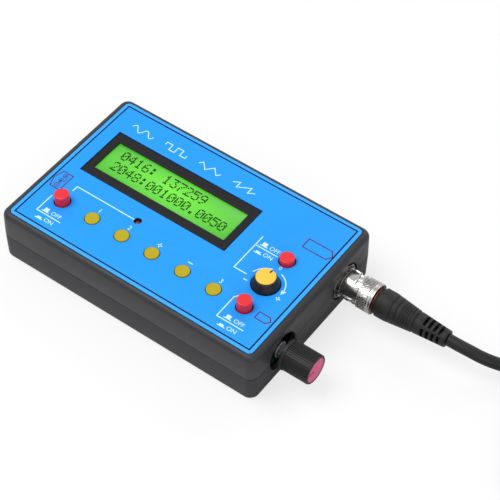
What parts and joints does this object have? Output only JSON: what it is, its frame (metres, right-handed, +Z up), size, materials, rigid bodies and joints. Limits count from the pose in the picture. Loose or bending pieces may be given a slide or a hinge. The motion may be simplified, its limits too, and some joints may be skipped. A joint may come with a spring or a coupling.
{
  "type": "function generator",
  "caption": "Flat desktop signal generator: blue-faced black plastic case, lit character display, push buttons, keys, two knobs and a coaxial output with its lead.",
  "frame": {"origin": "centre of the case's footprint, on its flat bottom face", "axes": "+X to the right, to the output end; +Y to the back; +Z up, out of the front panel"},
  "size_m": [0.2919, 0.0958, 0.0296],
  "materials": {
    "case": "satin moulded",
    "label": "printed film",
    "zinc": "zinc plated",
    "board": "solder mask",
    "black_parts": "moulded",
    "bezel": "black oxide",
    "display": "lit green",
    "white_parts": "moulded",
    "red_caps": "moulded",
    "yellow_keys": "moulded",
    "black_knobs": "moulded",
    "yellow_cap": "moulded",
    "pink_cap": "moulded",
    "plated_metal": "nickel plated",
    "copper": "copper ring",
    "cable_rubber": "moulded"
  },
  "bodies": {
    "root": {"bottom_case": "case", "top_case": "case", "front_label": "label", "case_screw_1": "zinc", "case_screw_2": "zinc", "case_screw_3": "zinc", "case_screw_4": "zinc", "level_pot": "zinc", "jack_washer": "zinc", "main_board": "board", "display_board": "board", "controller_chip": "black_parts", "amplifier_chip": "black_parts", "supply_capacitor": "black_parts", "display_header": "black_parts", "power_switch": "black_parts", "meter_switch": "black_parts", "offset_switch": "black_parts", "key_switch_1": "black_parts", "key_switch_2": "black_parts", "key_switch_3": "black_parts", "key_switch_4": "black_parts", "key_switch_5": "black_parts", "offset_pot": "black_parts", "power_inlet": "black_parts", "coil_tie": "black_parts", "display_bezel": "bezel", "display_glass": "display", "display_backlight": "white_parts", "indicator_lamp": "red_caps", "output_jack": "plated_metal", "jack_nut": "plated_metal", "plug_body": "plated_metal", "far_plug_body": "plated_metal", "plug_gasket": "copper", "far_plug_gasket": "copper", "plug_boot": "cable_rubber", "far_plug_boot": "cable_rubber", "cable_run": "cable_rubber", "cable_coil": "cable_rubber"},
    "power_button_body": {"power_button": "red_caps", "power_plunger": "white_parts"},
    "meter_button_body": {"meter_button": "red_caps", "meter_plunger": "white_parts"},
    "offset_button_body": {"offset_button": "red_caps", "offset_plunger": "white_parts"},
    "offset_knob_body": {"offset_knob": "black_knobs", "offset_knob_cap": "yellow_cap", "offset_shaft": "zinc"},
    "level_knob_body": {"level_knob": "black_knobs", "level_knob_cap": "pink_cap", "level_shaft": "zinc"},
    "key_1_body": {"key_1": "yellow_keys"},
    "key_2_body": {"key_2": "yellow_keys"},
    "key_3_body": {"key_3": "yellow_keys"},
    "key_4_body": {"key_4": "yellow_keys"},
    "key_5_body": {"key_5": "yellow_keys"},
    "thrust_ring_body": {"thrust_ring": "zinc"},
    "coupling_nut_body": {"coupling_nut": "plated_metal"},
    "far_nut_body": {"far_coupling_nut": "plated_metal"}
  },
  "joints": [
    {"name": "power_press", "type": "slide", "parent": "root", "child": "power_button_body", "axis": [0, 0, -1], "range_m": [0, 0.0028], "stiffness_N_per_m": 150},
    {"name": "meter_press", "type": "slide", "parent": "root", "child": "meter_button_body", "axis": [0, 0, -1], "range_m": [0, 0.0028], "stiffness_N_per_m": 150},
    {"name": "offset_release", "type": "slide", "parent": "root", "child": "offset_button_body", "axis": [0, 0, 1], "range_m": [-0.0007, 0.0021]},
    {"name": "key_1_press", "type": "slide", "parent": "root", "child": "key_1_body", "axis": [0, 0, -1], "range_m": [0, 0.0003], "stiffness_N_per_m": 400},
    {"name": "key_2_press", "type": "slide", "parent": "root", "child": "key_2_body", "axis": [0, 0, -1], "range_m": [0, 0.0003], "stiffness_N_per_m": 400},
    {"name": "key_3_press", "type": "slide", "parent": "root", "child": "key_3_body", "axis": [0, 0, -1], "range_m": [0, 0.0003], "stiffness_N_per_m": 400},
    {"name": "key_4_press", "type": "slide", "parent": "root", "child": "key_4_body", "axis": [0, 0, -1], "range_m": [0, 0.0003], "stiffness_N_per_m": 400},
    {"name": "key_5_press", "type": "slide", "parent": "root", "child": "key_5_body", "axis": [0, 0, -1], "range_m": [0, 0.0003], "stiffness_N_per_m": 400},
    {"name": "offset_turn", "type": "hinge", "parent": "root", "child": "offset_knob_body", "pos_m": [0.04345, -0.00685, 0.027], "axis": [0, 0, 1], "range_deg": [-150, 150]},
    {"name": "level_turn", "type": "hinge", "parent": "root", "child": "level_knob_body", "pos_m": [0.07, -0.0209, 0.0124], "axis": [1, 0, 0], "range_deg": [-150, 150]},
    {"name": "nut_slide", "type": "slide", "parent": "root", "child": "thrust_ring_body", "axis": [1, 0, 0], "range_m": [0, 0.0015]},
    {"name": "nut_turn", "type": "hinge", "parent": "thrust_ring_body", "child": "coupling_nut_body", "pos_m": [0.07, 0.0208, 0.0124], "axis": [1, 0, 0], "range_deg": [0, 90]},
    {"name": "far_nut_turn", "type": "hinge", "parent": "root", "child": "far_nut_body", "pos_m": [0.22311, -0.03547, 0.00697], "axis": [-0.1387, 0.9895, 0.0396], "continuous": true}
  ],
  "couplings": [
    {"joint": "nut_turn", "follows": "nut_slide", "rad_per_m": 1047.2}
  ]
}
